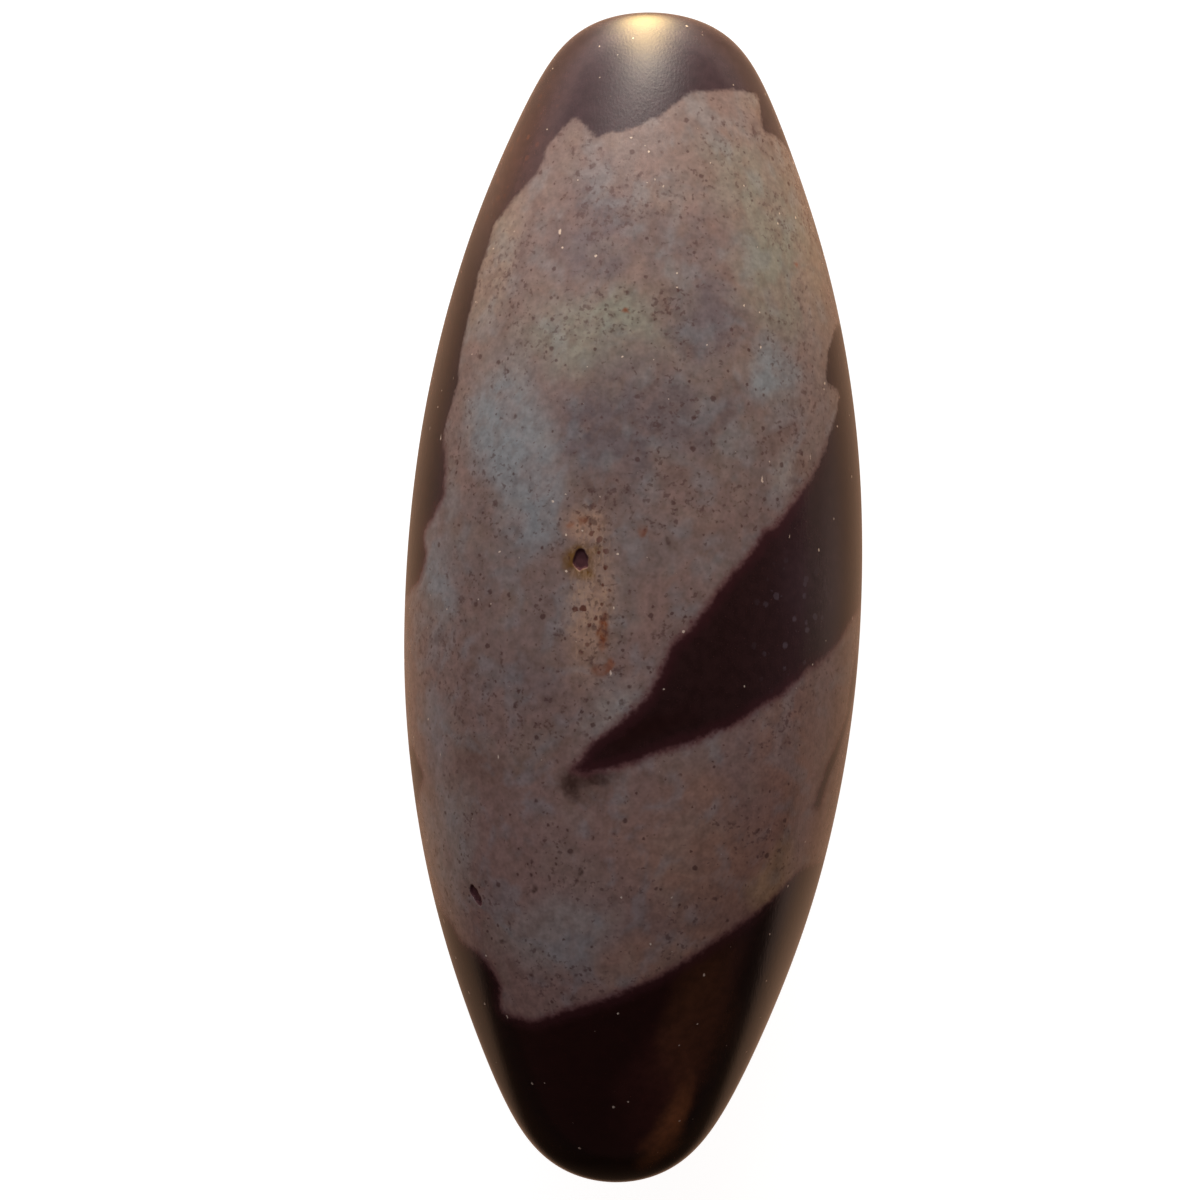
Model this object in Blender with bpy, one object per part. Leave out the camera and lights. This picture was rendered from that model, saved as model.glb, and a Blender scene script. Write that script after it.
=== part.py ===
"""A polished river stone of banded jasper, shaped like a long egg and lying on its side.

The stone is one solid. X runs across it, Y along it with the blunt tip at +Y, and Z up. The origin is on
the surface that it rests on, under the middle of its length and width.
"""

import math

import bmesh
import bpy
from mathutils import Matrix, Vector

# The whole stone, in metres
HALF_LENGTH = 0.0500
HALF_WIDTH = 0.0195
HALF_THICKNESS = 0.0180
BELLY_WEAR = 0.00025

# Each end is an ellipse whose flank is ground flatter and whose tip is left blunter:
# (share taken off the flank, its power, share added at the tip, its power)
BLUNT_END = (0.10, 2.5, 0.46, 11)
NARROW_END = (0.18, 2.7, 0.35, 9)

# Hand grinding leaves a faint swell in the round, as a share of the radius
SWELL = 0.0025
SWELLS_AROUND = 3
SWELL_TWIST = 5

SIDES_AROUND = 64
RINGS_ALONG = 46

# Small natural hollows: (name, x, y, length, width, depth, turn in degrees, against the clock from along)
HOLLOWS = (
    ("vug", -0.00461, 0.00293, 0.00165, 0.00130, 0.00090, 0.0),
    ("chip", -0.01243, -0.02550, 0.00200, 0.00085, 0.00025, 36.0),
)
HOLLOW_SIDES = 16
HOLLOW_RINGS = 10

JASPER_COLOUR = (0.105, 0.072, 0.066, 1.0)
JASPER_ROUGHNESS = 0.3


def clear_scene():
    for item in list(bpy.data.objects):
        bpy.data.objects.remove(item)


def fullness(along):
    """How far the outline stands out from a plain ellipse, at along = -1 to 1 of the half-length."""
    flank, flank_power, tip, tip_power = BLUNT_END if along > 0 else NARROW_END
    reach = abs(along)
    return 1 - flank * reach**flank_power + tip * reach**tip_power


def stone_point(unit):
    """The point of the stone's surface that a point of the unit sphere stands for."""
    around = math.atan2(unit.z, unit.x)
    swell = 1 + SWELL * math.sin(SWELLS_AROUND * around + SWELL_TWIST * unit.y)
    girth = fullness(unit.y) * swell
    return Vector((unit.x * girth * HALF_WIDTH, unit.y * HALF_LENGTH, unit.z * girth * HALF_THICKNESS))


def crown_point(x, y):
    """The point of the upper surface above (x, y), measured from the middle of the stone."""
    along = y / HALF_LENGTH
    round_share = math.sqrt(1 - along * along)
    across = x / (HALF_WIDTH * fullness(along) * round_share)
    height = math.sqrt(1 - across * across)
    return stone_point(Vector((across * round_share, along, height * round_share)))


def crown_axes(x, y, step=0.0002):
    """The directions across, along and out of the upper surface above (x, y), as a matrix's columns."""
    across = (crown_point(x + step, y) - crown_point(x - step, y)).normalized()
    along = (crown_point(x, y + step) - crown_point(x, y - step)).normalized()
    outward = across.cross(along).normalized()
    return Matrix((along.cross(outward), along, outward)).transposed().to_4x4()


def jasper():
    material = bpy.data.materials.new("jasper")
    material.use_nodes = True
    shader = material.node_tree.nodes["Principled BSDF"]
    shader.inputs["Base Color"].default_value = JASPER_COLOUR
    shader.inputs["Roughness"].default_value = JASPER_ROUGHNESS
    shader.inputs["Metallic"].default_value = 0.0
    material.diffuse_color = JASPER_COLOUR
    return material


def linked_object(name, shape):
    mesh = bpy.data.meshes.new(name)
    shape.to_mesh(mesh)
    shape.free()
    made = bpy.data.objects.new(name, mesh)
    bpy.context.scene.collection.objects.link(made)
    return made


def stone_body():
    """The egg, turned from a sphere with its poles at the tips, with the worn flat cut off its belly."""
    shape = bmesh.new()
    bmesh.ops.create_uvsphere(
        shape,
        u_segments=SIDES_AROUND,
        v_segments=RINGS_ALONG,
        radius=1.0,
        matrix=Matrix.Rotation(math.radians(-90), 4, "X"),
    )
    for vertex in shape.verts:
        vertex.co = stone_point(vertex.co)
    cut = bmesh.ops.bisect_plane(
        shape,
        geom=shape.verts[:] + shape.edges[:] + shape.faces[:],
        plane_co=(0, 0, BELLY_WEAR - HALF_THICKNESS),
        plane_no=(0, 0, -1),
        clear_outer=True,
    )
    rim = [item for item in cut["geom_cut"] if isinstance(item, bmesh.types.BMEdge)]
    bmesh.ops.contextual_create(shape, geom=rim)
    bmesh.ops.recalc_face_normals(shape, faces=shape.faces[:])
    return linked_object("stone", shape)


def hollow_cutter(name, x, y, length, width, depth, turn):
    """A small egg, sunk in the crown to half its height, that a Boolean takes out of the stone."""
    shape = bmesh.new()
    bmesh.ops.create_uvsphere(shape, u_segments=HOLLOW_SIDES, v_segments=HOLLOW_RINGS, radius=1.0)
    bmesh.ops.scale(shape, vec=(width / 2, length / 2, depth), verts=shape.verts[:])
    cutter = linked_object(name + "_cutter", shape)
    spin = Matrix.Rotation(math.radians(turn), 4, "Z")
    cutter.matrix_world = Matrix.Translation(crown_point(x, y)) @ crown_axes(x, y) @ spin
    cutter.hide_render = True
    cutter.display_type = "WIRE"
    return cutter


def cut_away(body, cutter):
    difference = body.modifiers.new(cutter.name, "BOOLEAN")
    difference.operation = "DIFFERENCE"
    difference.solver = "EXACT"
    difference.object = cutter


def lift_to_rest(parts):
    """Raises everything together, so that the worn flat lies at height 0."""
    for item in parts:
        item.matrix_world = Matrix.Translation((0, 0, HALF_THICKNESS - BELLY_WEAR)) @ item.matrix_world


def build():
    clear_scene()
    stone = stone_body()
    stone.data.materials.append(jasper())
    stone.data.shade_smooth()
    stone.data.set_sharp_from_angle(angle=math.radians(30))
    cutters = [hollow_cutter(*hollow) for hollow in HOLLOWS]
    for cutter in cutters:
        cut_away(stone, cutter)
    lift_to_rest([stone, *cutters])


build()
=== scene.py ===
"""The polished jasper stone as the photograph shows it: lying on its side on a pale floor, seen from above."""

import math

import bmesh
import bpy
import numpy as np
from mathutils import Matrix, Vector, noise
from mathutils.kdtree import KDTree


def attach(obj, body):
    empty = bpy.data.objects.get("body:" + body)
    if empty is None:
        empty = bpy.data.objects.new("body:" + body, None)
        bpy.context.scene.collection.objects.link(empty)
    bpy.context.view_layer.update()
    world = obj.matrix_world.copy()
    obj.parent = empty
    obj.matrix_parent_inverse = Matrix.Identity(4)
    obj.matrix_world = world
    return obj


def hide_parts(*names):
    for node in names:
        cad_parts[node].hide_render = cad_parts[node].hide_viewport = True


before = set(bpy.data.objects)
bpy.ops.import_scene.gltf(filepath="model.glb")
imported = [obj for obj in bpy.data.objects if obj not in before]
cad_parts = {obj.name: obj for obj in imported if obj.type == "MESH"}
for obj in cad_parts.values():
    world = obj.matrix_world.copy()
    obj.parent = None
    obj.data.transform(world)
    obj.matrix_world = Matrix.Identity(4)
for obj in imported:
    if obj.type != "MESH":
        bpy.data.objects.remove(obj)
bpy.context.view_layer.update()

# The stone: one pebble of banded jasper, turned over by a river, then ground and polished by hand to a long
# egg. It is a single piece with no fixings. Its belly is worn flat where it rests, and its crown has a small
# natural vug and a shallow chip.
HALF_LENGTH = 0.0500
HALF_WIDTH = 0.0195
HALF_THICKNESS = 0.0180
BELLY_WEAR = 0.00025
SWELL = 0.0025
SWELLS_AROUND = 3
SWELL_TWIST = 5
GRINDING_DEPTH = 0.00005
GRINDING_SPAN = 0.012
SQUARES_ACROSS = 88
MM = 0.001

# Small natural hollows: (name, x, y, length, width, depth, turn in degrees, against the clock from along)
HOLLOWS = (
    ("vug", -0.00461, 0.00293, 0.00165, 0.00130, 0.00030, 0.0),
    ("chip", -0.01243, -0.02550, 0.00190, 0.00098, 0.00022, 33.0),
)


def fullness(along):
    """How far the outline stands out from a plain ellipse, at along = -1 to 1 of the half-length."""
    reach = np.abs(along)
    blunt_end = 1 - 0.10 * reach**2.5 + 0.46 * reach**11
    narrow_end = 1 - 0.18 * reach**2.7 + 0.35 * reach**9
    return np.where(along > 0, blunt_end, narrow_end)


def on_stone(around, y):
    """Points of the polished surface, at angles round the stone from its crown towards +X."""
    along = y / HALF_LENGTH
    swell = 1 + SWELL * np.sin(SWELLS_AROUND * (math.pi / 2 - around) + SWELL_TWIST * along)
    girth = fullness(along) * swell * np.sqrt(np.clip(1 - along**2, 0, 1))
    x = np.sin(around) * girth * HALF_WIDTH
    z = np.cos(around) * girth * HALF_THICKNESS + HALF_THICKNESS - BELLY_WEAR
    return np.column_stack((x, y, np.maximum(z, 0)))


def on_crown(x, y):
    """The point of the upper surface above (x, y)."""
    along = y / HALF_LENGTH
    half_width = HALF_WIDTH * fullness(along) * math.sqrt(1 - along**2)
    return on_stone(np.array([math.asin(max(-1, min(1, x / half_width)))]), np.array([y]))[0]


def around_and_along(grid):
    """The angle round the stone and the place along it that each point of the cube's faces stands for."""
    blown = np.tan(grid * math.pi / 4)
    unit = blown / np.linalg.norm(blown, axis=1)[:, None]
    return np.arctan2(unit[:, 0], unit[:, 2]), unit[:, 1] * HALF_LENGTH


def read_all(items, name, width=3):
    values = np.empty(width * len(items))
    items.foreach_get(name, values)
    return values.reshape(-1, width)


bpy.ops.object.select_all(action="DESELECT")
bpy.ops.mesh.primitive_cube_add(size=2)
stone = bpy.context.object
stone.name = "banded_stone"
stone.data.name = "banded_stone"
bpy.ops.object.mode_set(mode="EDIT")
bpy.ops.mesh.select_all(action="SELECT")
bpy.ops.mesh.subdivide(number_cuts=SQUARES_ACROSS - 1)
bpy.ops.mesh.select_mode(type="EDGE")
bpy.ops.mesh.select_all(action="DESELECT")
box = bmesh.from_edit_mesh(stone.data)
for edge in box.edges:
    run = edge.verts[1].co - edge.verts[0].co
    edge.select = abs(run.y) > abs(run.x) + abs(run.z)
bmesh.update_edit_mesh(stone.data)
bpy.ops.mesh.subdivide(number_cuts=1)

# Finer squares where there are small stains and in and around each hollow, in rounds that each halve them.
# The stained places are in mm: (x, y, half-width, half-length)
STAINED = (
    (-3.6, 0.9, 2.6, 8.8), (-3.1, -15.9, 3.0, 2.5), (13.5, 11.7, 1.6, 1.7), (13.0, 28.5, 1.0, 0.8),
    (0.5, 5.4, 0.8, 0.9), (2.6, 4.7, 0.7, 0.9), (-1.6, 23.7, 0.7, 0.7), (-7.5, -24.7, 1.1, 0.7),
    (-10.0, -29.2, 0.8, 0.7), (-13.0, -19.4, 0.8, 0.9), (-3.8, -23.0, 0.7, 0.7),
)
bpy.ops.mesh.select_mode(type="FACE")
for stained_reach, hollow_reach in ((1.15, 1.9), (1.0, 1.6), (0.0, 1.35)):
    bpy.ops.mesh.select_all(action="DESELECT")
    bpy.ops.object.mode_set(mode="OBJECT")
    centres = on_stone(*around_and_along(read_all(stone.data.polygons, "center")))
    inside = np.zeros(len(centres), bool)
    for name, x, y, length, width, depth, turn in HOLLOWS:
        inside |= np.linalg.norm(centres - on_crown(x, y), axis=1) < hollow_reach * length / 2
    for x, y, half_width, half_length in STAINED:
        offset = (centres - on_crown(x * MM, y * MM)) / MM
        stain_span = np.hypot(offset[:, 0] / half_width, offset[:, 1] / half_length)
        inside |= (stain_span < stained_reach) & (centres[:, 2] > HALF_THICKNESS)
    stone.data.polygons.foreach_set("select", inside)
    bpy.ops.object.mode_set(mode="EDIT")
    bpy.ops.mesh.subdivide(number_cuts=1)
bpy.ops.object.mode_set(mode="OBJECT")

grid = read_all(stone.data.vertices, "co")
around, along = around_and_along(grid)
places = on_stone(around, along)
middle = places * (0, 1, 0) + (0, 0, HALF_THICKNESS - BELLY_WEAR)
inward = middle - places
inward /= np.maximum(np.linalg.norm(inward, axis=1), MM)[:, None]
ground = np.array([noise.noise(place) for place in places / GRINDING_SPAN])
places += inward * (np.clip(0.5 + ground, 0, 1) * GRINDING_DEPTH)[:, None]

hollowness = np.zeros(len(places))
for name, x, y, length, width, depth, turn in HOLLOWS:
    centre = on_crown(x, y)
    across_axis = on_crown(x + 0.0002, y) - on_crown(x - 0.0002, y)
    along_axis = on_crown(x, y + 0.0002) - on_crown(x, y - 0.0002)
    across_axis /= np.linalg.norm(across_axis)
    along_axis /= np.linalg.norm(along_axis)
    out = np.cross(across_axis, along_axis)
    offset = places - centre
    lean = math.radians(turn)
    right = offset @ (across_axis * math.cos(lean) + along_axis * math.sin(lean))
    ahead = offset @ (along_axis * math.cos(lean) - across_axis * math.sin(lean))
    near = np.linalg.norm(offset, axis=1) < 0.75 * length
    ragged = np.array([noise.noise(place) for place in places[near] / (0.5 * MM)])
    edge = np.hypot(right[near] / (width / 2), ahead[near] / (length / 2)) * (1 + 0.30 * ragged)
    wall = np.clip((1.12 - edge) / 0.45, 0, 1)
    sink = wall * wall * (3 - 2 * wall)
    places[near] -= out * (sink * depth * (1 + 0.12 * ragged))[:, None]
    hollowness[near] = np.maximum(hollowness[near], sink)
stone.data.vertices.foreach_set("co", places.ravel())
stone.data.update()
bpy.ops.object.shade_smooth()

# The map that the finish is baked to: the four sides as strips next to each other, the two ends below them
STRIP_BASE = 0.36
MAP_MARGIN = 0.002
corner_vertices = read_all(stone.data.loops, "vertex_index", 1)[:, 0].astype(int)
corner_faces = np.repeat(np.arange(len(stone.data.polygons)), read_all(stone.data.polygons, "loop_total", 1)[:, 0].astype(int))
face_ways = np.zeros((len(stone.data.polygons), 3))
np.add.at(face_ways, corner_faces, grid[corner_vertices])
corner_ways = face_ways[corner_faces]
side = np.argmax(np.abs(corner_ways), axis=1)
positive = np.take_along_axis(corner_ways, side[:, None], axis=1)[:, 0] > 0
corners = (grid[corner_vertices] + 1) / 2
flat_map = np.zeros((len(corners), 2))
for axis, is_positive, across_column, up_column, left, base, width, height in (
    (2, True, 0, 1, 0.00, STRIP_BASE, 0.25, 1 - STRIP_BASE),
    (0, True, 2, 1, 0.25, STRIP_BASE, 0.25, 1 - STRIP_BASE),
    (2, False, 0, 1, 0.50, STRIP_BASE, 0.25, 1 - STRIP_BASE),
    (0, False, 2, 1, 0.75, STRIP_BASE, 0.25, 1 - STRIP_BASE),
    (1, True, 0, 2, 0.00, 0.0, 0.50, STRIP_BASE),
    (1, False, 0, 2, 0.50, 0.0, 0.50, STRIP_BASE),
):
    chosen = (side == axis) & (positive == is_positive)
    flat_map[chosen, 0] = left + MAP_MARGIN + corners[chosen, across_column] * (width - 2 * MAP_MARGIN)
    flat_map[chosen, 1] = base + MAP_MARGIN + corners[chosen, up_column] * (height - 2 * MAP_MARGIN)
stone.data.uv_layers[0].name = "OFBake"
stone.data.uv_layers["OFBake"].data.foreach_set("uv", flat_map.ravel())

# How the photograph sees the stone: from straight above, turned a little
CAMERA_REACH = 0.600
FRAME_WIDTH = 0.10258
CAMERA_TURN = math.radians(2.1)
STONE_OFF_CENTRE = (-0.00284, -0.00022)
PHOTO_PIXELS = 1200
DEGREE = math.radians(1)
off_centre = Matrix.Rotation(CAMERA_TURN, 3, "Z") @ Vector((*STONE_OFF_CENTRE, 0))


def seen(pixels):
    """Degrees round from the crown, towards +X, and mm along, of places read off the photograph in its pixels."""
    right, down = (np.array(pixels, float).T / PHOTO_PIXELS - 0.5) * FRAME_WIDTH
    height = np.zeros(len(pixels))
    for step in range(40):
        nearer = 1 - height / CAMERA_REACH
        x = off_centre.x + (right * math.cos(CAMERA_TURN) + down * math.sin(CAMERA_TURN)) * nearer
        y = off_centre.y + (right * math.sin(CAMERA_TURN) - down * math.cos(CAMERA_TURN)) * nearer
        girth = fullness(y / HALF_LENGTH) * np.sqrt(np.clip(1 - (y / HALF_LENGTH)**2, 0, 1))
        top = HALF_THICKNESS * np.sqrt(np.clip(girth**2 - (x / HALF_WIDTH)**2, 0, 1))
        height = (height + top) / 2
    degrees = np.arctan2(x / HALF_WIDTH, height / HALF_THICKNESS) / DEGREE
    return [tuple(point) for point in np.column_stack((degrees, y / MM))]


# Where the pale ground meets the dark jasper. What the photograph shows was read off it, as pixels (right,
# down) of its 1200 by 1200 picture, at each bend. The far side is made up, in degrees and mm.
LEFT_FLANK_PIXELS = (
    (409, 593), (418, 581), (424, 566), (426, 553), (423, 538), (424, 530), (433, 517), (444, 494), (444, 480),
    (446, 463), (443, 440), (446, 423), (459, 380), (458, 370), (462, 345), (470, 310), (478, 275), (490, 240),
    (493, 226), (503, 214), (512, 200), (522, 190), (536, 174), (544, 159), (545, 150), (556, 136), (575, 116),
)
CAP_PIXELS = (
    (588, 130), (597, 138), (611, 133), (634, 128), (646, 122), (661, 115), (683, 99), (690, 93), (713, 91),
    (733, 90), (748, 93), (758, 96), (761, 125), (765, 132), (774, 135), (787, 147), (791, 155),
)
WEDGE_PIXELS = (
    (834, 330), (828, 352), (826, 372), (827, 383), (835, 388), (840, 395), (837, 410), (828, 440), (818, 466),
    (805, 487), (787, 513), (775, 528), (764, 531), (759, 544), (747, 559), (732, 574), (713, 600), (692, 628),
    (674, 641), (666, 661), (657, 680), (644, 702), (627, 717), (594, 743), (581, 760), (572, 771), (588, 772),
    (612, 768), (638, 760), (670, 748), (692, 742), (713, 732), (735, 724), (761, 706), (783, 693), (796, 680),
    (809, 667), (828, 654), (844, 632), (854, 613), (860, 604),
)
TOE_PIXELS = (
    (438, 906), (450, 923), (461, 943), (473, 950), (486, 962), (495, 975), (500, 987), (499, 1010), (506, 1015),
    (516, 1018), (530, 1022), (542, 1020), (561, 1013), (599, 1001), (617, 995), (640, 985), (662, 976),
    (695, 956), (728, 934), (758, 913), (781, 891), (801, 870), (824, 860),
)
STRIPE_PIXELS = (
    (852, 704), (828, 780), (820, 808), (813, 808), (820, 787), (830, 760), (841, 734), (848, 713), (850, 691),
)
SLIVER_PIXELS = ((414, 751), (423, 776), (418, 799))
CAP_EDGE = (
    (-182, -4), (-165, -2), (-150, 1.5), (-132, -1), (-115, 1), (-100, -1.5), (-90, -1),
    *seen(LEFT_FLANK_PIXELS), *seen(CAP_PIXELS),
    (90, 37.5), (106, 38.5), (122, 35.5), (136, 34), (141, 30), (130, 27), (118, 27.5), (104, 24), (90, 24.5),
    *seen(WEDGE_PIXELS),
    (92, 1.5), (104, 0), (118, -3.5), (134, -2), (150, -6), (166, -5), (182, -4),
)
TOE_EDGE = (
    (-182, -27), (-160, -25), (-140, -27.5), (-122, -25), (-105, -26.5), (-90, -26),
    *seen(TOE_PIXELS),
    (95, -19.5), (112, -22.5), (128, -20), (146, -24.5), (164, -24), (182, -27),
)
RIGHT_STRIPE = ((79, -4), (84, -6.5), *seen(STRIPE_PIXELS), (79, -4))
LEFT_SLIVER = ((-92, -12.5), *seen(SLIVER_PIXELS), (-92, -19.5), (-104, -16), (-92, -12.5))
BACK_ISLANDS = (
    ((150, -12), (162, -9.5), (172, -12), (168, -16.5), (157, -18), (148, -15.5), (150, -12)),
    ((-140, -10), (-128, -8), (-118, -11), (-123, -14.5), (-136, -14), (-140, -10)),
    ((112, -9), (120, -8), (124, -11), (119, -14), (111, -12.5), (112, -9)),
)
LINE_SPACING = 0.05
CORNER_ROUNDING = 13
WANDERS = ((5 * MM, 2.4 * MM), (1.6 * MM, 0.7 * MM))
MM_PER_DEGREE = 0.3


def smooth(low, high, values):
    """0 at low and 1 at high, easing in and out between them."""
    share = np.clip((values - low) / (high - low), 0, 1)
    return share * share * (3 - 2 * share)


def drawn(points):
    """A line through given points with its corners eased, as close points in radians and metres.

    Out of the photograph's sight it also wanders, as a natural edge does. A line that ends where it starts is
    closed."""
    degrees, millimetres = np.array(points, float).T
    steps = np.hypot(np.diff(degrees) * MM_PER_DEGREE, np.diff(millimetres))
    run = np.concatenate(([0], np.cumsum(steps)))
    stops = np.arange(0, run[-1], LINE_SPACING)
    easing = np.hanning(CORNER_ROUNDING + 2)[1:-1]
    easing /= easing.sum()
    eased = []
    for values in (degrees * DEGREE, millimetres * MM):
        padded = np.pad(np.interp(stops, run, values), CORNER_ROUNDING // 2, mode="edge")
        eased.append(np.convolve(padded, easing, mode="valid"))
    line = np.column_stack(eased)
    unseen = smooth(80, 105, np.abs(line[:, 0]) / DEGREE)
    for lump, shift in WANDERS:
        pushes = np.array([noise.noise_vector(place / lump) for place in on_stone(line[:, 0], line[:, 1])])
        line[:, 0] += pushes[:, 0] * unseen * shift / HALF_THICKNESS
        line[:, 1] += pushes[:, 1] * unseen * shift
    if points[0] == points[-1]:
        line = np.vstack((line, line[:1]))
    return line


lines = [drawn(points) for points in (CAP_EDGE, TOE_EDGE, RIGHT_STRIPE, LEFT_SLIVER, *BACK_ISLANDS)]
line_places = np.concatenate([on_stone(line[:, 0], line[:, 1]) for line in lines])
nearest = KDTree(len(line_places))
for index, place in enumerate(line_places):
    nearest.insert(place, index)
nearest.balance()
from_line = np.array([nearest.find(place)[2] for place in places]) / MM

# A point is on the pale ground where the way from it to the blunt tip crosses the lines an odd number of times
order = np.argsort(around)
crossings = np.zeros(len(places), int)
sorted_around = around[order]
for line in lines:
    lows = np.searchsorted(sorted_around, np.minimum(line[:-1, 0], line[1:, 0]))
    highs = np.searchsorted(sorted_around, np.maximum(line[:-1, 0], line[1:, 0]))
    for piece, (low, high) in enumerate(zip(lows, highs)):
        if low < high:
            under = order[low:high]
            share = (around[under] - line[piece, 0]) / (line[piece + 1, 0] - line[piece, 0])
            crossings[under] += along[under] < line[piece, 1] + share * (line[piece + 1, 1] - line[piece, 1])
pale_mm = np.where(crossings % 2 == 1, from_line, -from_line)

# The jasper's finish: a taupe grey ground with soft clouds, rust and dark grains, and near-black maroon
# where the iron lies thick, all under one waxy hand polish. Its colours, by the names used below:
TAUPE = (0.100, 0.080, 0.082)
ROSE = (0.125, 0.084, 0.080)
MAUVE = (0.063, 0.055, 0.066)
SLATE = (0.112, 0.134, 0.160)
SAGE = (0.116, 0.124, 0.113)
CHALK = (0.140, 0.128, 0.130)
CREAM = (0.132, 0.114, 0.102)
SAND = (0.160, 0.096, 0.076)
BUFF = (0.220, 0.160, 0.105)
UMBER = (0.080, 0.052, 0.044)
TAN = (0.200, 0.132, 0.100)
OLIVE = (0.076, 0.040, 0.012)
RUST = (0.105, 0.034, 0.015)
PITCH = (0.025, 0.014, 0.012)
MAROON = (0.0095, 0.0042, 0.0046)
PLUM = (0.0160, 0.0100, 0.0130)
OXBLOOD = (0.0220, 0.0060, 0.0055)
# Partly the jasper's own russet, partly a painted reflection along the cap's left flank
RUSSET_AND_REFLECTION = (0.0320, 0.0130, 0.0110)
SOOT = (0.0045, 0.0010, 0.0009)
# A painted reflection: the dim amber glow on the toe
AMBER_REFLECTION = (0.1200, 0.0500, 0.0200)

# Clouds in the pale ground, in mm: (x, y, half-width, half-length, turn, strength, colour)
CLOUDS = (
    (8, 36, 5, 4, 0, 0.5, SAGE),
    (10.5, 29, 3.5, 7, 10, 0.9, SAGE),
    (14, 29, 1.8, 7, 10, 0.8, CREAM),
    (-4.5, 31, 3, 6, 0, 0.9, MAUVE),
    (2, 30, 4.5, 3, 0, 0.4, MAUVE),
    (-13, 28, 2.5, 7, -10, 0.8, CREAM),
    (-4.5, 22.5, 7, 3.8, 5, 0.9, SAGE),
    (5, 23.5, 3.5, 4, 0, 0.9, MAUVE),
    (11, 19, 2, 3, 0, 0.9, SLATE),
    (-11, 14, 3, 6, 8, 0.9, SLATE),
    (-9, 7, 2.5, 4, 0, 0.8, SLATE),
    (-5.5, 13.5, 2.5, 5, 0, 0.8, MAUVE),
    (-1, 14, 6, 6, 0, 0.8, MAUVE),
    (6, 16, 4, 4, 0, 0.6, MAUVE),
    (13, 10.5, 1.7, 2, 0, 0.9, CHALK),
    (6, 8, 5, 3.5, 0, 0.5, ROSE),
    (-16.5, 1, 2, 5, 0, 0.8, SLATE),
    (-16, -12, 2, 4, 0, 0.7, SLATE),
    (-12.5, -14.5, 3, 3, 0, 0.5, UMBER),
    (-7.5, -13, 2.5, 2, 0, 0.6, UMBER),
    (-8.5, -7.5, 3, 2.5, 0, 0.4, MAUVE),
    (-2, -9, 4, 2.5, 50, 0.95, CHALK),
    (2, -1, 2, 7, -40, 0.7, ROSE),
    (-15, -21.5, 2, 6, 10, 0.8, CHALK),
    (-5.5, -28.5, 6, 3, 8, 0.8, CHALK),
    (6, -15.5, 3.5, 2, 0, 0.6, SAND),
    (13.5, -14, 3, 7, -10, 0.6, SAND),
    (3, -20, 6, 5, 0, 0.4, SAND),
    (8, -22, 6, 5, 20, 0.8, SAND),
    (4, -29.5, 6, 2.5, 17, 0.8, SAND),
    (12.5, -23, 2, 3.5, -25, 0.8, BUFF),
)

# Small stains in the pale ground, in the same form: round the vug, under the wedge's tip, then scattered
STAINS = (
    (-3.6, -1.4, 2.3, 6.6, -4, 0.70, TAN),
    (-4.3, 5.9, 2.3, 1.7, 0, 0.70, TAN),
    (-4.6, 2.9, 1.8, 1.8, 0, 0.70, OLIVE),
    (-5.3, 2.9, 0.8, 1.2, -8, 0.95, OLIVE),
    (-4.2, 1.8, 1.0, 0.6, -20, 0.95, OLIVE),
    (-3.4, 3.9, 0.8, 0.5, 35, 0.55, OLIVE),
    (-4.7, 4.0, 0.6, 0.4, 0, 0.80, OLIVE),
    (-2.5, -2.9, 0.6, 1.7, 0, 1.00, RUST),
    (-2.3, -1.7, 0.3, 0.4, 0, 0.70, RUST),
    (-1.8, -5.7, 0.5, 0.8, -15, 0.90, RUST),
    (-2.7, -6.3, 0.9, 0.6, 0, 0.65, RUST),
    (-4.5, 6.2, 0.5, 0.4, 0, 0.85, RUST),
    (-5.6, 5.9, 0.3, 0.6, -10, 0.60, RUST),
    (-3.6, 8.4, 1.9, 1.6, 0, 0.35, UMBER),
    (-3.8, -16.0, 3.0, 2.0, 0, 0.75, UMBER),
    (-4.6, -15.6, 1.1, 1.5, 10, 1.00, PITCH),
    (-3.4, -15.3, 1.3, 0.7, 10, 0.95, PITCH),
    (-2.2, -15.1, 1.1, 0.7, 0, 0.85, PITCH),
    (-0.9, -14.8, 0.9, 0.5, 0, 0.50, PITCH),
    (0.5, 5.4, 0.5, 0.6, 0, 0.65, RUST),
    (2.6, 4.7, 0.4, 0.5, 0, 0.75, PITCH),
    (-1.6, 23.7, 0.35, 0.3, 0, 0.85, RUST),
    (12.7, 28.5, 0.3, 0.35, 0, 0.80, RUST),
    (-7.5, -24.7, 0.45, 0.3, 20, 0.90, PITCH),
    (-10.0, -29.2, 0.35, 0.3, -40, 0.80, PITCH),
    (-3.7, -23.0, 0.3, 0.3, 0, 0.80, PITCH),
    (-13.5, -6.2, 1.0, 0.6, 0, 0.55, UMBER),
    (13.5, 11.7, 1.0, 1.0, 0, 0.70, UMBER),
)

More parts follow.
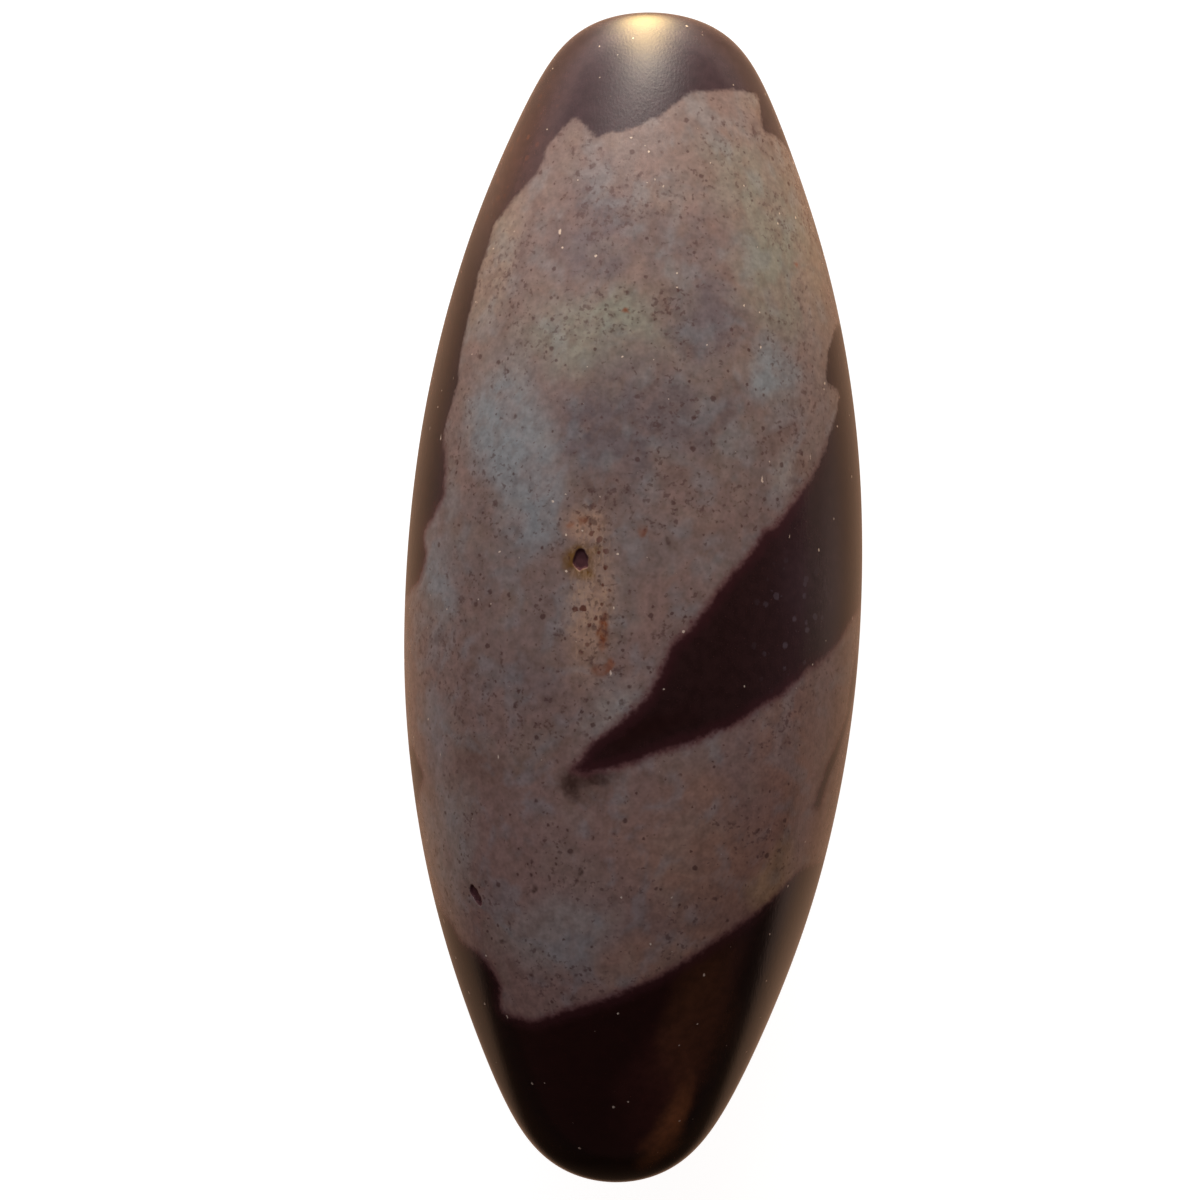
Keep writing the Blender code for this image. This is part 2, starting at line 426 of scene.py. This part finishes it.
# Clouds in the dark jasper, in the same form. The russet one on the cap's left is partly a painted reflection,
# and the two amber ones on the toe are a painted reflection of a dim glow.
DARK_CLOUDS_AND_REFLECTIONS = (
    (0, 43, 8, 4, 0, 0.9, PLUM),
    # Partly rusty jasper, partly a painted reflection along the cap's left flank
    (-10.5, 37, 2.4, 8, -25, 0.5, RUSSET_AND_REFLECTION),
    (15.5, 2, 3.5, 7, -10, 0.9, PLUM),
    (1, -11, 5, 1.5, 35, 0.6, SOOT),
    (4, -41, 3.5, 7, -18, 0.8, OXBLOOD),
    # Painted reflection: the dim amber glow on the toe, as two clouds
    (6.5, -36, 3, 8, -14, 0.22, AMBER_REFLECTION),
    (4.6, -44, 1.5, 5, -17, 1, AMBER_REFLECTION),
)
CLOUD_SPREAD = 1.35
STAIN_SPREAD = 1.25


def wandering(spots, lump, shift):
    """The spots pushed about by up to about the shift, in lumps of this size."""
    return spots + shift * np.array([noise.noise_vector(spot) for spot in spots / lump])


def lumpy(spots, lump, low, high):
    """Soft patches of about this size, 0 to 1."""
    return smooth(low, high, np.array([noise.fractal(spot, 1.0, 2.0, 4) for spot in spots / lump]))


def egg(spots, x, y, half_width, half_length, turn, core):
    """1 in the core of a soft egg sunk in the crown and 0 at its skin."""
    offset = spots - on_crown(x * MM, y * MM) / MM
    lean = math.radians(turn)
    right = offset[:, 0] * math.cos(lean) + offset[:, 1] * math.sin(lean)
    ahead = offset[:, 1] * math.cos(lean) - offset[:, 0] * math.sin(lean)
    span = np.hypot(np.hypot(right / half_width, ahead / half_length), offset[:, 2] / (half_width + half_length))
    return smooth(1, core, span)


def laid_over(paint, mask, colour):
    """The paint with another colour over it where the mask is 1."""
    return paint + (np.array(colour) - paint) * np.asarray(mask)[:, None]


spots = places / MM
drifted = wandering(wandering(spots, 6, 1.8), 1.5, 0.5)
crumbled = wandering(wandering(spots, 0.8, 0.30), 0.28, 0.12)
pale_paint = laid_over(np.tile(TAUPE, (len(spots), 1)), smooth(8, -24, spots[:, 1]), ROSE)
for x, y, half_width, half_length, turn, strength, colour in CLOUDS:
    mask = egg(drifted, x, y, half_width * CLOUD_SPREAD, half_length * CLOUD_SPREAD, turn, 0.25)
    pale_paint = laid_over(pale_paint, mask * strength, colour)
for lump, start, strength, colour in (
    (2.8, 3.0, 0.30, ROSE),
    (3.4, 7.0, 0.22, CREAM),
    (2.3, 11.0, 0.30, SLATE),
    (1.4, 17.0, 0.30, UMBER),
):
    pale_paint = laid_over(pale_paint, lumpy(drifted + start, lump, 0.0, 0.55) * strength, colour)
broken = lumpy(crumbled, 0.5, -0.35, 0.25) * 0.25 + 0.75
for x, y, half_width, half_length, turn, strength, colour in STAINS:
    mask = egg(crumbled, x, y, half_width * STAIN_SPREAD, half_length * STAIN_SPREAD, turn, 0.2)
    pale_paint = laid_over(pale_paint, mask * broken * strength, colour)

dark_paint = laid_over(np.tile(MAROON, (len(spots), 1)), smooth(22, 36, spots[:, 1]), PLUM)
dark_paint = laid_over(dark_paint, smooth(-16, -26, spots[:, 1]), SOOT)
for x, y, half_width, half_length, turn, strength, colour in DARK_CLOUDS_AND_REFLECTIONS:
    mask = egg(drifted, x, y, half_width * CLOUD_SPREAD, half_length * CLOUD_SPREAD, turn, 0.15)
    dark_paint = laid_over(dark_paint, mask * strength, colour)

streak = egg(crumbled, -3.7, 0.8, 2.6, 9.0, 0, 0.3)
crowd = streak * 0.02 + lumpy(spots, 6, -0.5, 0.5) * 0.10 - smooth(15, -20, spots[:, 1]) * 0.025
for name, values in (
    ("pale_mm", pale_mm),
    ("hollow", hollowness),
    ("streak", streak),
    ("crowd", crowd),
    ("rust", egg(spots, -12.5, 38.0, 6.0, 10.0, -25, 0.4)),
    ("grey_dust", egg(spots, 13.4, -2.0, 4.5, 7.5, 0, 0.2)),
):
    stone.data.attributes.new(name, "FLOAT", "POINT").data.foreach_set("value", values)
for name, paint in (("pale_paint", pale_paint), ("dark_paint", dark_paint)):
    colours = np.column_stack((paint, np.ones(len(paint))))
    stone.data.attributes.new(name, "FLOAT_COLOR", "POINT").data.foreach_set("color", colours.ravel())


class Wire:
    """One socket of the stone's finish. Arithmetic on wires adds Math nodes to the same finish."""

    def __init__(self, socket):
        self.socket = socket

    def node(self, kind, settings, sockets, output=0):
        """Adds a node, sets it up, then fills its sockets with wires or values."""
        tree = self.socket.id_data
        made = tree.nodes.new("ShaderNode" + kind)
        for name, value in settings.items():
            setattr(made, name, value)
        for name, value in sockets.items():
            if isinstance(value, Wire):
                tree.links.new(value.socket, made.inputs[name])
            else:
                made.inputs[name].default_value = value
        return Wire(made.outputs[output])

    def maths(self, operation, first, second=0.0):
        return self.node("Math", {"operation": operation}, {0: first, 1: second})

    def __add__(self, other):
        return self.maths("ADD", self, other)

    def __sub__(self, other):
        return self.maths("SUBTRACT", self, other)

    def __rsub__(self, other):
        return self.maths("SUBTRACT", other, self)

    def __mul__(self, other):
        return self.maths("MULTIPLY", self, other)

    def ramp(self, low, high):
        """0 where this wire is at low and 1 where it is at high, easing in and out between them."""
        sockets = {"Value": self, "From Min": low, "From Max": high}
        return self.node("MapRange", {"interpolation_type": "SMOOTHSTEP"}, sockets)

    def mixed(self, mask, colour):
        """This colour, with another laid over it where the mask is 1."""
        if not isinstance(colour, Wire):
            colour = (*colour[:3], 1)
        return self.node("Mix", {"data_type": "RGBA"}, {0: mask, 6: self, 7: colour}, 2)

    def shaded(self, light):
        """This colour made lighter or darker."""
        sockets = {0: 1 - light, 6: self, 7: (0, 0, 0, 1)}
        return self.node("Mix", {"data_type": "RGBA", "clamp_factor": False}, sockets, 2)

    def vectors(self, operation, first, second):
        return self.node("VectorMath", {"operation": operation}, {0: first, 1: second})

    def scaled(self, times):
        """This vector made longer or shorter."""
        return self.node("VectorMath", {"operation": "SCALE"}, {0: self, "Scale": times})

    def tinted(self, colour):
        """A colour as strong as this wire."""
        return self.node("VectorMath", {"operation": "SCALE"}, {0: colour, "Scale": self})

    def part(self, axis):
        """The x, y or z of this vector, as axis 0, 1 or 2."""
        return self.node("SeparateXYZ", {}, {0: self}, axis)

    def grain(self, size, detail=2.0, output=0):
        """Even noise in the stone, with lumps of this size in mm."""
        return self.node("TexNoise", {}, {"Vector": self, "Scale": 1 / size, "Detail": detail}, output)

    def jostled(self, size, shift):
        """These places, pushed about by up to about half the shift in mm, in lumps of this size."""
        push = self.vectors("SUBTRACT", self.grain(size, 2.0, 1), (0.5, 0.5, 0.5))
        return self.vectors("ADD", self, push.scaled(shift))

    def dots(self, size, radius, fewest):
        """Soft dots, one in each cell of this size in mm. A cell draws a lot, 0 to 1, and has a dot above fewest."""
        cells = {"Vector": self, "Scale": 1 / size}
        lot = self.node("SeparateColor", {}, {0: self.node("TexVoronoi", {}, cells, 1)})
        reach = (lot - fewest) * (radius / size)
        return (reach - self.node("TexVoronoi", {}, cells, 0)).ramp(0, radius / size * 0.3)

    def drawn_out(self, turn, share):
        """These places squeezed along one way, so that what is drawn on them comes out long that way."""
        scale = (1, share, 1)
        return self.node("Mapping", {"vector_type": "POINT"}, {"Vector": self, "Rotation": (0, 0, turn), "Scale": scale})


jasper = bpy.data.materials.new("jasper")
jasper.use_nodes = True
tree = jasper.node_tree
shader = tree.nodes["Principled BSDF"]
metres = Wire(tree.nodes.new("ShaderNodeTexCoord").outputs["Object"])
place = metres.scaled(1 / MM)
shaken = place.jostled(0.26, 0.22)


def painted(name, output=2):
    """What the stone is painted with at each point: a number, or with output 0 a colour."""
    return place.node("Attribute", {"attribute_name": name}, {}, output)


hollow = painted("hollow")
streak = painted("streak")
crowd = painted("crowd")
ground_colour = painted("pale_paint", 0)
sand = place.grain(0.75, 1.0).ramp(0.2, 0.8) * 0.30 + place.grain(0.28, 0.0).ramp(0.1, 0.9) * 0.16 + 0.78
ground_colour = ground_colour.shaded(sand)

# Dark grains in the pale ground, thicker round the vug and its tan streak, which has pale fibres too
fibres = shaken.drawn_out(0, 0.35).grain(0.30, 1.0).ramp(0.50, 0.64)
ground_colour = ground_colour.mixed(fibres * streak * 0.3, (0.250, 0.180, 0.135))
for size, detail, low, high, depth in (
    (1.20, 2.0, 0.64, 0.86, 0.36),
    (0.70, 2.0, 0.66, 0.80, 0.60),
    (0.40, 1.0, 0.67, 0.81, 0.55),
):
    grains = (shaken.grain(size, detail) + crowd).ramp(low, high) * depth
    ground_colour = ground_colour.mixed(grains, (0.034, 0.018, 0.018))
for size, radius, fewest in ((1.5, 0.52, 0.35), (0.8, 0.38, 0.45)):
    ground_colour = ground_colour.mixed(shaken.dots(size, radius, fewest) * 0.7, (0.028, 0.013, 0.013))
red_grains = shaken.dots(0.6, 0.44, 0.15) * streak
ground_colour = ground_colour.mixed(red_grains * 0.85, (0.045, 0.012, 0.009))

# The dark jasper, with rusty flecks on the cap's left and grey dust in the wedge
dark_colour = painted("dark_paint", 0).shaded(place.grain(0.9, 2.0).ramp(0.2, 0.8) * 0.5 + 0.75)
flecks = shaken.dots(0.85, 0.52, 0.20)
dark_colour = dark_colour.mixed(flecks * painted("rust") * 0.4, (0.085, 0.030, 0.018))
dark_colour = dark_colour.mixed(flecks * painted("grey_dust") * 0.6, (0.050, 0.044, 0.060))

# Where they meet: a crisp edge, a little ragged, with a maroon fringe
ragged_side = painted("pale_mm") + (place.grain(1.2, 2.0) - 0.5) * 0.55 + (place.grain(0.36, 1.0) - 0.5) * 0.45
soft_edge = ragged_side.ramp(-0.15, 0.8)
crisp_edge = ragged_side.ramp(-0.32, 0.26)
fringe_place = place.part(1).ramp(18, 6) * 0.75 + 0.1
fringed = ground_colour.mixed((1 - soft_edge) * fringe_place, (0.060, 0.024, 0.028))
dark_colour = dark_colour.mixed(ragged_side.ramp(-1.3, -0.2) * fringe_place * 0.7, (0.0220, 0.0060, 0.0085))
colour = dark_colour.mixed(crisp_edge, fringed)

# Plum shadow inside the hollows, and bright dust caught in the polish
colour = colour.mixed(hollow.ramp(0.02, 0.3), (0.034, 0.013, 0.016))
dust = hollow * 0
for turn, share, size, radius, fewest in (
    (0.0, 1.0, 1.4, 0.20, 0.25),
    (0.6, 0.35, 2.0, 0.22, 0.40),
    (-1.2, 0.30, 2.2, 0.22, 0.40),
):
    dust = dust.maths("MAXIMUM", dust, shaken.drawn_out(turn, share).dots(size, radius, fewest))
colour = colour.mixed(dust * 0.7, (0.42, 0.37, 0.33))

roughness = place.grain(0.5, 1.0) * 0.10 + 0.14 + hollow.ramp(0.0, 0.4) * 0.7
tree.links.new(colour.socket, shader.inputs["Base Color"])
tree.links.new(roughness.socket, shader.inputs["Roughness"])
shader.inputs["IOR"].default_value = 1.3
brushing = place.drawn_out(math.pi / 2, 0.3).grain(0.2, 1.0)
relief = place.grain(0.22, 1.0) * 0.6 + brushing
bump = {"Strength": 0.35, "Distance": 0.00003, "Height": relief}
tree.links.new(relief.node("Bump", {}, bump).socket, shader.inputs["Normal"])
stone.data.materials.clear()
stone.data.materials.append(jasper)

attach(stone, "root")
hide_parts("stone")

# The floor: a wide sheet of white card that only the camera sees, so that it stays plain behind the stone. The
# backdrop is a pale hood far round it.
FLOOR_SIZE = 6.0
HOOD_RADIUS = 2.9


def stage_surface(made, name, colour, glow):
    """Gives a stage piece a dull finish of one colour that also glows, and returns its shader."""
    made.name = name
    finish = bpy.data.materials.new(name)
    finish.use_nodes = True
    surface = finish.node_tree.nodes["Principled BSDF"]
    surface.inputs["Base Color"].default_value = colour
    surface.inputs["Roughness"].default_value = 1.0
    surface.inputs["Specular IOR Level"].default_value = 0.0
    surface.inputs["Emission Color"].default_value = (1, 1, 1, 1)
    surface.inputs["Emission Strength"].default_value = glow
    finish.cycles.emission_sampling = "NONE"
    made.data.materials.append(finish)
    made.visible_shadow = False
    return surface


def sheet(name, height, colour, glow=0.0):
    bpy.ops.object.select_all(action="DESELECT")
    bpy.ops.mesh.primitive_plane_add(size=FLOOR_SIZE)
    bpy.ops.object.mode_set(mode="EDIT")
    bpy.ops.transform.translate(value=(0, 0, height))
    bpy.ops.object.mode_set(mode="OBJECT")
    return bpy.context.object, stage_surface(bpy.context.object, name, colour, glow)


def hood(name, radius, colour, glow):
    bpy.ops.object.select_all(action="DESELECT")
    bpy.ops.mesh.primitive_uv_sphere_add(segments=64, ring_count=32, radius=radius)
    bpy.ops.object.shade_smooth()
    return bpy.context.object, stage_surface(bpy.context.object, name, colour, glow)


floor, floor_surface = sheet("floor", -0.0002, (0.20, 0.25, 0.30, 1), 0.95)
backdrop, backdrop_surface = hood("backdrop", HOOD_RADIUS, (0, 0, 0, 1), 0.97)
for screen in (floor, backdrop):
    screen.visible_diffuse = False
    screen.visible_glossy = False

# The bounce card: a golden reflector lying under the stone, out of the camera's sight, that warms its flanks.
# It is brightest beside the blunt half and the toe, and it darkens beyond the toe.
CARD_DARK = (0.10, 0.04, 0.02, 1)
CARD_BRIGHT = (0.98, 0.60, 0.38, 1)
CARD_MIDDLE = (0.55, 0.36, 0.26, 1)
bounce_card, card_surface = sheet("bounce_card", -0.0001, CARD_BRIGHT)
bounce_card.visible_camera = False
bounce_card.visible_glossy = False
card_tree = bounce_card.data.materials[0].node_tree
card_y = Wire(card_tree.nodes.new("ShaderNodeTexCoord").outputs["Object"]).part(1)
card_colour = card_y.node("Mix", {"data_type": "RGBA"}, {0: card_y.ramp(-0.085, -0.050), 6: CARD_DARK, 7: CARD_BRIGHT}, 2)
card_colour = card_colour.mixed(card_y.ramp(0.008, 0.022), CARD_MIDDLE).mixed(card_y.ramp(0.028, 0.055), CARD_BRIGHT)
card_tree.links.new(card_colour.socket, card_surface.inputs["Base Color"])

# The soft box: what the polish mirrors and nothing else sees. A white window with a golden glow low in it
# stands beyond the blunt tip, a cool haze hangs either side of it, and the table is a warm sheen beside the
# stone.
TIP = (0.0, 49.0, 17.0)
SOFT_BOX_RADIUS = 0.9
SOFT_BOX_GLOW = 30.0


def mirrored(made, surface):
    """Shows a stage piece to the polish alone, and returns its places and the way to them from the tip."""
    made.visible_camera = False
    made.visible_diffuse = False
    surface.inputs["Emission Strength"].default_value = SOFT_BOX_GLOW
    place = Wire(made.data.materials[0].node_tree.nodes.new("ShaderNodeTexCoord").outputs["Object"])
    place = place.scaled(1 / MM)
    way = place.vectors("SUBTRACT", place, TIP)
    way = way.node("VectorMath", {"operation": "NORMALIZE"}, {0: way})
    bearing = way.maths("ARCTAN2", way.part(0), way.part(1)) * (1 / DEGREE)
    height = way.maths("ARCSINE", way.part(2)) * (1 / DEGREE)
    return place, bearing, height


def bell(wire, centre, width):
    """1 where the wire is at the centre, falling away softly to both sides."""
    off = (wire - centre) * (1 / width)
    return off.maths("EXPONENT", off * off * -1)


def window_glow(bearing, height):
    """The brightness of the window, its golden glow and the haze, over the soft box's own."""
    window = bell(bearing, -6, 22) * height.ramp(52, 27) * height.ramp(-62, 25)
    golden = bell(bearing, -6, 13) * height.ramp(43, 2) * height.ramp(-62, -12)
    aside = bearing.maths("ABSOLUTE", bearing)
    haze = aside.ramp(78, 48) * 1.1 + bearing.ramp(-95, -62) * bearing.ramp(40, -20) * 0.9
    haze = haze * height.ramp(60, 47) * height.ramp(-30, 0)
    glow = (window * (13.15 / SOFT_BOX_GLOW)).tinted((1.0, 1.0, 0.96))
    glow = glow.vectors("ADD", glow, (golden * (20.4 / SOFT_BOX_GLOW)).tinted((1.0, 0.63, 0.14)))
    return glow.vectors("ADD", glow, (haze * (1 / SOFT_BOX_GLOW)).tinted((1.0, 0.72, 0.72)))


soft_box, soft_box_surface = hood("soft_box", SOFT_BOX_RADIUS, (0, 0, 0, 1), SOFT_BOX_GLOW)
place, bearing, height = mirrored(soft_box, soft_box_surface)
air = bearing.ramp(30, 85) * bearing.ramp(130, 95) * height.ramp(55, -10) * 0.5
air = (air * (1 / SOFT_BOX_GLOW)).tinted((1.0, 0.55, 0.65))
air = air.vectors("ADD", air, (0.20 / SOFT_BOX_GLOW, 0.085 / SOFT_BOX_GLOW, 0.075 / SOFT_BOX_GLOW))
glow = air.vectors("ADD", air, window_glow(bearing, height))
glow.socket.id_data.links.new(glow.socket, soft_box_surface.inputs["Emission Color"])

sheen, sheen_surface = sheet("table_sheen", -0.0001, (0, 0, 0, 1), SOFT_BOX_GLOW)
place, bearing, height = mirrored(sheen, sheen_surface)
beside, ahead = place.part(0), place.part(1)
out = beside.maths("ABSOLUTE", beside)
shine = ahead.ramp(-62, -50) * 0.82 * (1 - ahead.ramp(-42, -14) * 0.32) + 0.13
shine = shine + ahead.ramp(12, 26) * 0.12 + ahead.ramp(32, 44) * 0.35
shine = shine + beside.ramp(34, 80) * beside.ramp(160, 90) * ahead.ramp(-45, -26) * ahead.ramp(26, 14) * 0.25
shine = shine * (out.ramp(16, 40) * 0.45 + 0.55) * (1 - beside.ramp(5, 15) * ahead.ramp(-38, -50) * 0.25)
shine = shine * (1 - beside.ramp(-8, -20) * ahead.ramp(-20, -42) * 0.35)
shine = (shine * (1 / SOFT_BOX_GLOW)).tinted((1.0, 0.58, 0.37))
shine = shine.vectors("MULTIPLY", shine, out.ramp(38, 75).node("Mix", {"data_type": "RGBA"}, {0: out.ramp(38, 75), 6: (1, 1, 1, 1), 7: (1, 1.15, 1.5, 1)}, 2))
glow = shine.vectors("ADD", shine, window_glow(bearing, height))
glow.socket.id_data.links.new(glow.socket, sheen_surface.inputs["Emission Color"])


# The lights: a warm low window beyond the blunt tip, a cool sky above it, and the glare of the table between.
def light(name, shape, size, place, turn, radiance, colour):
    """A lamp that glows evenly at this radiance over its whole face, and that the polish doesn't mirror."""
    data = bpy.data.lights.new(name, "AREA")
    data.shape = shape
    data.size, data.size_y = size
    area = size[0] * size[1] * (math.pi / 4 if shape == "ELLIPSE" else 1)
    data.energy = radiance * math.pi * area
    data.color = colour
    lamp = bpy.data.objects.new(name, data)
    bpy.context.scene.collection.objects.link(lamp)
    lamp.location = place
    lamp.rotation_euler = turn
    lamp.visible_camera = False
    lamp.visible_glossy = False


def aimed_light(name, shape, size, azimuth, elevation, distance, radiance, colour):
    """A lamp that faces the blunt half of the stone, azimuth 0 being +Y and positive towards +X."""
    azimuth, elevation = math.radians(azimuth), math.radians(elevation)
    level = math.cos(elevation)
    place = Vector((math.sin(azimuth) * level, math.cos(azimuth) * level, math.sin(elevation))) * distance
    turn = (-place).to_track_quat("-Z", "Y").to_euler()
    light(name, shape, size, place + Vector((0, 0.03, 0.018)), turn, radiance, colour)


aimed_light("window", "RECTANGLE", (0.34, 0.20), 0, 8, 0.57, 33.0, (1.0, 0.76, 0.45))
aimed_light("window_top", "RECTANGLE", (0.30, 0.20), 0, 27, 0.62, 11.0, (1.0, 0.80, 0.60))
for layer in (0.6, 1.0):
    aimed_light("sky", "ELLIPSE", (0.85 * layer, 0.42 * layer), -15, 40, 0.60, 4.5, (0.93, 0.96, 1.0))
    glare_size = (0.045 * layer, 0.22 * layer)
    glare_place = (0, 0.075 + 0.11 * layer, 0.002)
    light("glare", "ELLIPSE", glare_size, glare_place, (math.pi, 0, 0), 14.0, (1.0, 0.82, 0.42))

world = bpy.data.worlds.new("studio")
bpy.context.scene.world = world
world.use_nodes = True
world.cycles_visibility.glossy = False
air = world.node_tree.nodes["Background"]
air.inputs["Color"].default_value = (1.0, 0.70, 0.62, 1)
air.inputs["Strength"].default_value = 0.2

# The camera: it looks straight down, turned a little, as the photograph does.
SENSOR_WIDTH = 36
lens = bpy.data.cameras.new("camera")
camera = bpy.data.objects.new("camera", lens)
bpy.context.scene.collection.objects.link(camera)
lens.sensor_width = SENSOR_WIDTH
lens.lens = SENSOR_WIDTH * CAMERA_REACH / FRAME_WIDTH
camera.location = (off_centre.x, off_centre.y, HALF_THICKNESS - BELLY_WEAR + CAMERA_REACH)
camera.rotation_euler = (0, 0, CAMERA_TURN)
lens.clip_start = 0.01
lens.clip_end = 20
bpy.context.scene.camera = camera
bpy.context.scene.view_settings.view_transform = "Standard"
